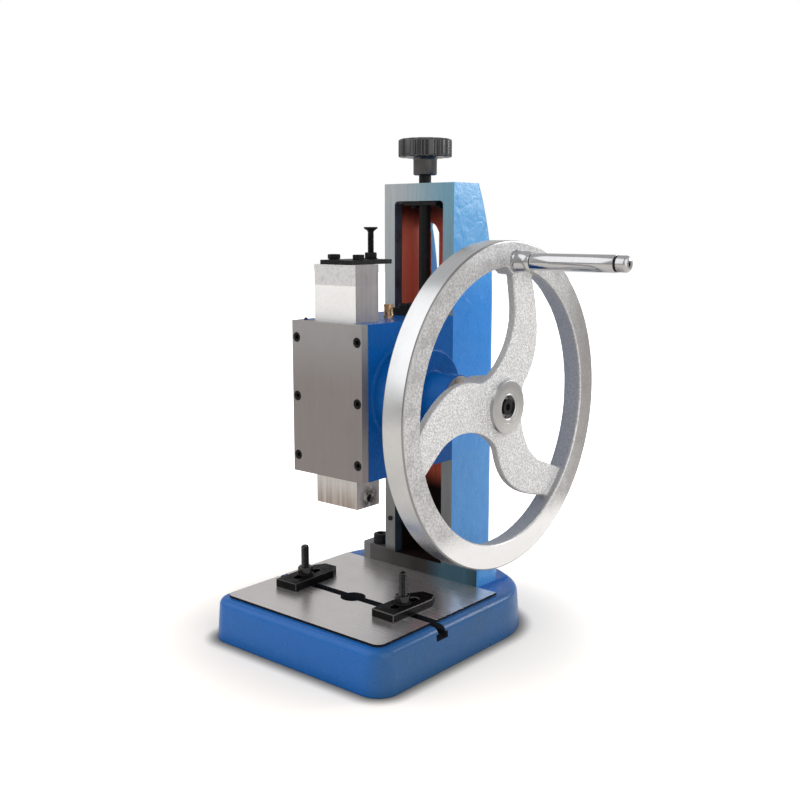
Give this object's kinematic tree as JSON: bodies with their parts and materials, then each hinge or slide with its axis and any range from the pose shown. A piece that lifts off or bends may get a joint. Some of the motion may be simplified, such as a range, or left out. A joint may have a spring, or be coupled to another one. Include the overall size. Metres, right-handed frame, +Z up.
{
  "type": "hand press",
  "caption": "Bench hand press: cast base with T-slot table, channel column, sliding head with rack ram, large handwheel with turning handle, and a knob screw that raises the head.",
  "frame": {"origin": "on the floor under the middle of the base, on the rib between the hollows of its underside", "axes": "+Z up; +Y from the table to the column; +X to the handwheel's side"},
  "size_m": [0.3716, 0.2847, 0.4733],
  "materials": {
    "casting_paint": "thick blue enamel over cast iron, machined faces left bare",
    "ground_steel": "surface ground",
    "scraped_steel": "ground and hand scraped, mottled",
    "polished_steel": "turned and polished",
    "wheel_iron": "cast inside, turned and polished rim",
    "black_steel": "black oxide",
    "bronze": "turned",
    "knob_plastic": "moulded black"
  },
  "bodies": {
    "base": {"base_casting": "casting_paint", "column": "casting_paint", "column_bolts": "black_steel", "screw_retainer": "black_steel", "retainer_screws": "black_steel", "screw_bush": "bronze", "rail_stop_pin": "black_steel"},
    "elevating_screw": {"lead_screw": "ground_steel", "star_knob": "knob_plastic", "knob_set_screw": "black_steel"},
    "head": {"head_casting": "casting_paint", "cover_plate": "ground_steel", "cover_screws": "black_steel", "ram_gib": "bronze", "gib_screws": "black_steel", "gib_lock_nuts": "black_steel", "keeper_strips": "ground_steel", "keeper_screws": "black_steel", "lift_bar": "black_steel", "lift_bar_screws": "polished_steel", "lead_nut": "bronze", "oil_cup": "bronze", "corner_oiler": "black_steel", "outer_bush": "bronze", "inner_bush": "bronze", "left_bush": "bronze"},
    "ram": {"ram": "scraped_steel", "rack": "ground_steel", "rack_screws": "black_steel", "stop_plate": "black_steel", "stop_bolts": "black_steel", "stop_lock_nut": "black_steel"},
    "tool_screw": {"tool_set_screw": "black_steel"},
    "stop": {"stop_screw": "black_steel"},
    "wheel": {"pinion_shaft": "polished_steel", "shaft_washer": "ground_steel", "shaft_screw": "black_steel", "handwheel": "wheel_iron", "wheel_key": "ground_steel", "hub_washer": "ground_steel", "hub_screw": "black_steel", "handle_spindle": "polished_steel", "handle_ring": "black_steel", "handle_cap": "polished_steel"},
    "handle": {"handle_sleeve": "polished_steel"},
    "bolt_left": {"t_bolt_left": "black_steel"},
    "swivel_left": {"clamp_washer_left": "black_steel"},
    "strap_left": {"strap_left": "black_steel"},
    "nut_left": {"clamp_nut_left": "black_steel"},
    "bolt_right": {"t_bolt_right": "black_steel"},
    "swivel_right": {"clamp_washer_right": "black_steel"},
    "strap_right": {"strap_right": "black_steel"},
    "nut_right": {"clamp_nut_right": "black_steel"}
  },
  "joints": [
    {"name": "head_lift", "type": "slide", "parent": "base", "child": "head", "axis": [0, 0, 1], "range_m": [-0.043, 0.08]},
    {"name": "knob_turn", "type": "hinge", "parent": "base", "child": "elevating_screw", "pos_m": [0, 0.0645, 0.455], "axis": [0, 0, 1], "range_deg": [-9620, 5180]},
    {"name": "wheel_turn", "type": "hinge", "parent": "head", "child": "wheel", "pos_m": [0.148, -0.0188, 0.2405], "axis": [1, 0, 0], "range_deg": [-114, 180]},
    {"name": "ram_slide", "type": "slide", "parent": "head", "child": "ram", "axis": [0, 0, 1], "range_m": [-0.044, 0.028]},
    {"name": "handle_spin", "type": "hinge", "parent": "wheel", "child": "handle", "pos_m": [0.2105, -0.0103, 0.3617], "axis": [1, 0, 0], "continuous": true},
    {"name": "stop_adjust", "type": "slide", "parent": "ram", "child": "stop", "axis": [0, 0, 1], "range_m": [0, 0.006]},
    {"name": "tool_screw_in", "type": "slide", "parent": "ram", "child": "tool_screw", "axis": [-1, 0, 0], "range_m": [0, 0.005]},
    {"name": "bolt_left_slide", "type": "slide", "parent": "base", "child": "bolt_left", "axis": [1, 0, 0], "range_m": [-0.03, 0.014]},
    {"name": "strap_left_swivel", "type": "hinge", "parent": "bolt_left", "child": "swivel_left", "pos_m": [-0.064, -0.042, 0.0431], "axis": [0, 0, 1], "range_deg": [-20, 20]},
    {"name": "strap_left_slide", "type": "slide", "parent": "swivel_left", "child": "strap_left", "axis": [-0.0349, 0.9994, 0], "range_m": [-0.016, 0.011]},
    {"name": "nut_left_turn", "type": "hinge", "parent": "bolt_left", "child": "nut_left", "pos_m": [-0.064, -0.042, 0.0431], "axis": [0, 0, 1], "range_deg": [-30, 720]},
    {"name": "bolt_right_slide", "type": "slide", "parent": "base", "child": "bolt_right", "axis": [1, 0, 0], "range_m": [-0.014, 0.03]},
    {"name": "strap_right_swivel", "type": "hinge", "parent": "bolt_right", "child": "swivel_right", "pos_m": [0.0615, -0.042, 0.0431], "axis": [0, 0, 1], "range_deg": [-20, 20]},
    {"name": "strap_right_slide", "type": "slide", "parent": "swivel_right", "child": "strap_right", "axis": [0.0175, 0.9998, 0], "range_m": [-0.016, 0.011]},
    {"name": "nut_right_turn", "type": "hinge", "parent": "bolt_right", "child": "nut_right", "pos_m": [0.0615, -0.042, 0.0431], "axis": [0, 0, 1], "range_deg": [-30, 720]}
  ],
  "couplings": [
    {"joint": "knob_turn", "follows": "head_lift", "rad_per_m": -2094.4},
    {"joint": "ram_slide", "follows": "wheel_turn", "m_per_rad": -0.014}
  ]
}
